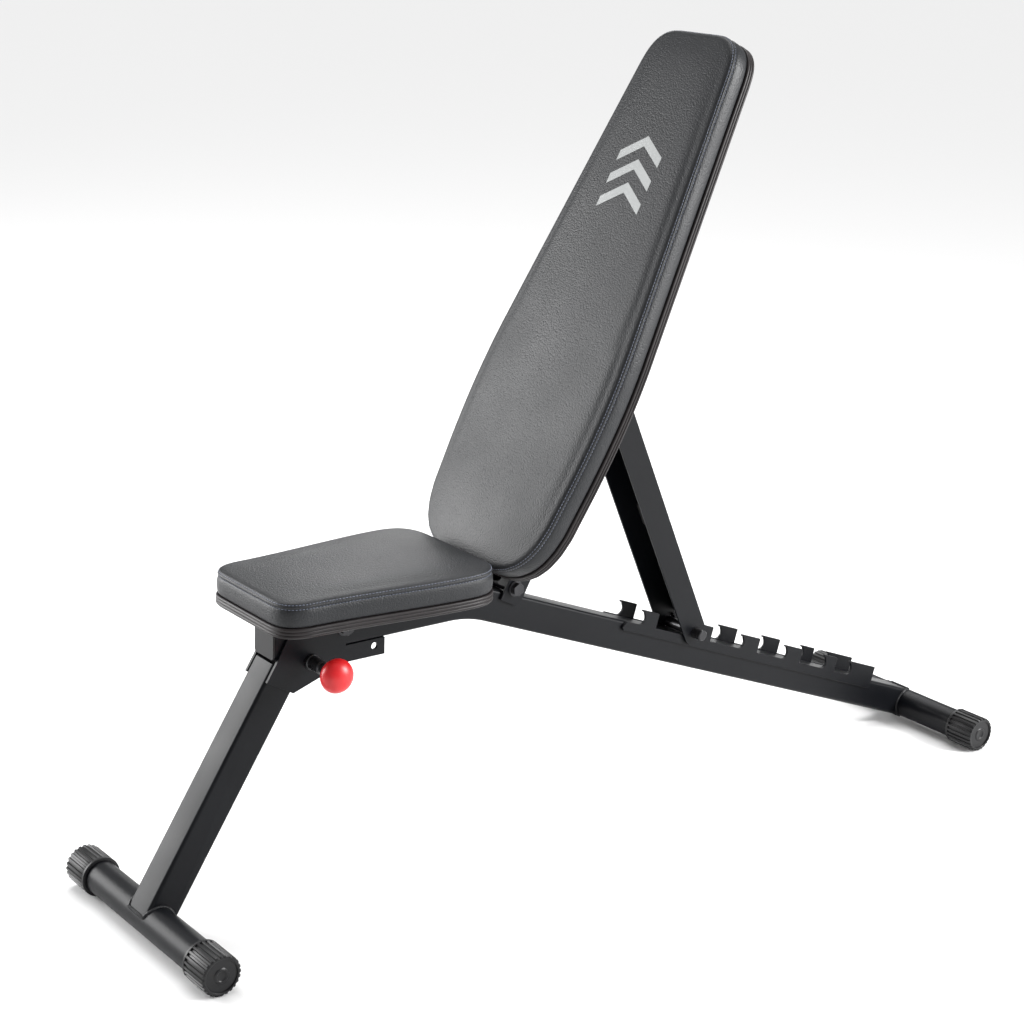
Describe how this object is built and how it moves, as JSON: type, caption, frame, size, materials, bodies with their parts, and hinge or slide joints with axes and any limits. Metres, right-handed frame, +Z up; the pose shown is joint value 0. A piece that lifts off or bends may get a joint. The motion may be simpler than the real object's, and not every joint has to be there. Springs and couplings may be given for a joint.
{
  "type": "adjustable weight bench",
  "caption": "Padded exercise bench on a bent steel frame, with a tilting backrest propped by a hooked strut and a folding front leg.",
  "frame": {"origin": "on the floor, midway between the two feet and on the centreline", "axes": "+X from the front foot towards the rear foot, +Z up, -Y towards the side with the red knob"},
  "size_m": [1.4178, 0.36, 1.1023],
  "materials": {
    "powder_coat": "satin black powder coat with a fine speckle",
    "black_rubber": "semi-gloss black rubber",
    "vinyl": "charcoal fine-grain vinyl with double stitching",
    "edging": "ribbed soft plastic edging",
    "plywood": "plain plywood",
    "zinc": "bright zinc plate",
    "black_steel": "black oxide",
    "red_plastic": "smooth red plastic"
  },
  "bodies": {
    "frame": {"main_beam": "powder_coat", "beam_end_plug": "black_rubber", "fold_bracket": "powder_coat", "rear_foot_tube": "powder_coat", "rear_foot_cap_left": "black_rubber", "rear_foot_cap_right": "black_rubber", "ladder_plate_left": "powder_coat", "ladder_plate_right": "powder_coat", "hinge_sleeve": "powder_coat", "seat_bar_front": "powder_coat", "seat_bar_rear": "powder_coat", "seat_screw_front_left": "zinc", "seat_screw_front_right": "zinc", "seat_screw_rear_left": "zinc", "seat_screw_rear_right": "zinc", "seat_board": "plywood", "seat_edge_trim": "edging", "seat_cushion": "vinyl", "leg_pivot_bolt": "black_steel", "leg_pivot_nut": "black_steel", "leg_pivot_washer_left": "black_steel", "leg_pivot_washer_right": "black_steel"},
    "leg": {"leg_tube": "powder_coat", "front_foot_tube": "powder_coat", "front_foot_cap_left": "black_rubber", "front_foot_cap_right": "black_rubber", "leg_plate_left": "powder_coat", "leg_plate_right": "powder_coat", "pin_housing": "black_steel", "pin_spring": "zinc"},
    "lock_pin": {"lock_pin": "zinc", "lock_knob": "red_plastic"},
    "backrest": {"back_pivot_bolt": "black_steel", "back_pivot_nut": "black_steel", "back_pivot_washer_left": "black_steel", "back_pivot_washer_right": "black_steel", "back_rail_left": "powder_coat", "back_rail_right": "powder_coat", "back_bar_lower": "powder_coat", "back_bar_upper": "powder_coat", "back_screw_lower_left": "zinc", "back_screw_lower_right": "zinc", "back_screw_upper_left": "zinc", "back_screw_upper_right": "zinc", "back_board": "plywood", "back_edge_trim": "edging", "back_cushion": "vinyl", "strut_pivot_bolt": "black_steel", "strut_pivot_nut": "black_steel", "strut_pivot_washer_left": "black_steel", "strut_pivot_washer_right": "black_steel"},
    "strut": {"strut_channel": "powder_coat", "strut_cross_pin": "zinc", "strut_bumper": "black_rubber"}
  },
  "joints": [
    {"name": "backrest_tilt", "type": "hinge", "parent": "frame", "child": "backrest", "pos_m": [-0.14, 0, 0.37308], "axis": [0, -1, 0], "range_deg": [0, 22]},
    {"name": "strut_swing", "type": "hinge", "parent": "backrest", "child": "strut", "pos_m": [0.00554, 0, 0.6468], "axis": [0, -1, 0], "range_deg": [-16.5, 0]},
    {"name": "leg_fold", "type": "hinge", "parent": "frame", "child": "leg", "pos_m": [-0.414, 0, 0.37], "axis": [0, -1, 0], "range_deg": [0, 107]},
    {"name": "lock_pin_pull", "type": "slide", "parent": "leg", "child": "lock_pin", "axis": [0, -1, 0], "range_m": [-0.0045, 0.005], "stiffness_N_per_m": 400, "springref_m": -0.0045}
  ],
  "couplings": [
    {"joint": "strut_swing", "follows": "backrest_tilt", "ratio": -0.73}
  ]
}
